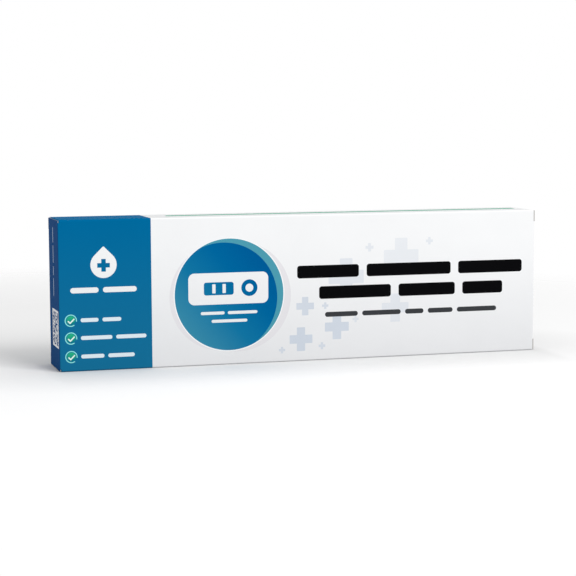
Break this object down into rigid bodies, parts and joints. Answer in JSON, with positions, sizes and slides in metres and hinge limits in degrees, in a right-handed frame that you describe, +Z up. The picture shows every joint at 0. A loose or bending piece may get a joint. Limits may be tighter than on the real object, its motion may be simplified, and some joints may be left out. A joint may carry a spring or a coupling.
{
  "type": "test kit folding carton",
  "caption": "Slim printed folding carton of a rapid test kit on its long edge, with reverse tuck ends, and the pouches, tube and leaflet it holds.",
  "frame": {"origin": "on the surface that the carton stands on, under its middle", "axes": "+X along the carton, the printed front faces -Y, +Z up"},
  "size_m": [0.21, 0.024, 0.062],
  "materials": {
    "white_board": "satin",
    "navy_board": "satin",
    "foil": "satin",
    "peel_paper": "matte",
    "clear_plastic": "satin",
    "white_plastic": "satin",
    "leaflet_paper": "matte"
  },
  "bodies": {
    "carton": {"carton_body": "white_board", "cassette_pouch": "foil", "swab_pouch": "peel_paper", "extraction_tube": "clear_plastic", "dropper_cap": "white_plastic", "leaflet": "leaflet_paper"},
    "right_flap": {"right_closure": "white_board"},
    "left_flap": {"left_closure": "navy_board"}
  },
  "joints": [
    {"name": "right_closure_hinge", "type": "hinge", "parent": "carton", "child": "right_flap", "pos_m": [0.105, 0.012, 0.031], "axis": [0, 0, 1], "range_deg": [0, 135]},
    {"name": "left_closure_hinge", "type": "hinge", "parent": "carton", "child": "left_flap", "pos_m": [-0.105, -0.012, 0.031], "axis": [0, 0, 1], "range_deg": [0, 135]}
  ]
}
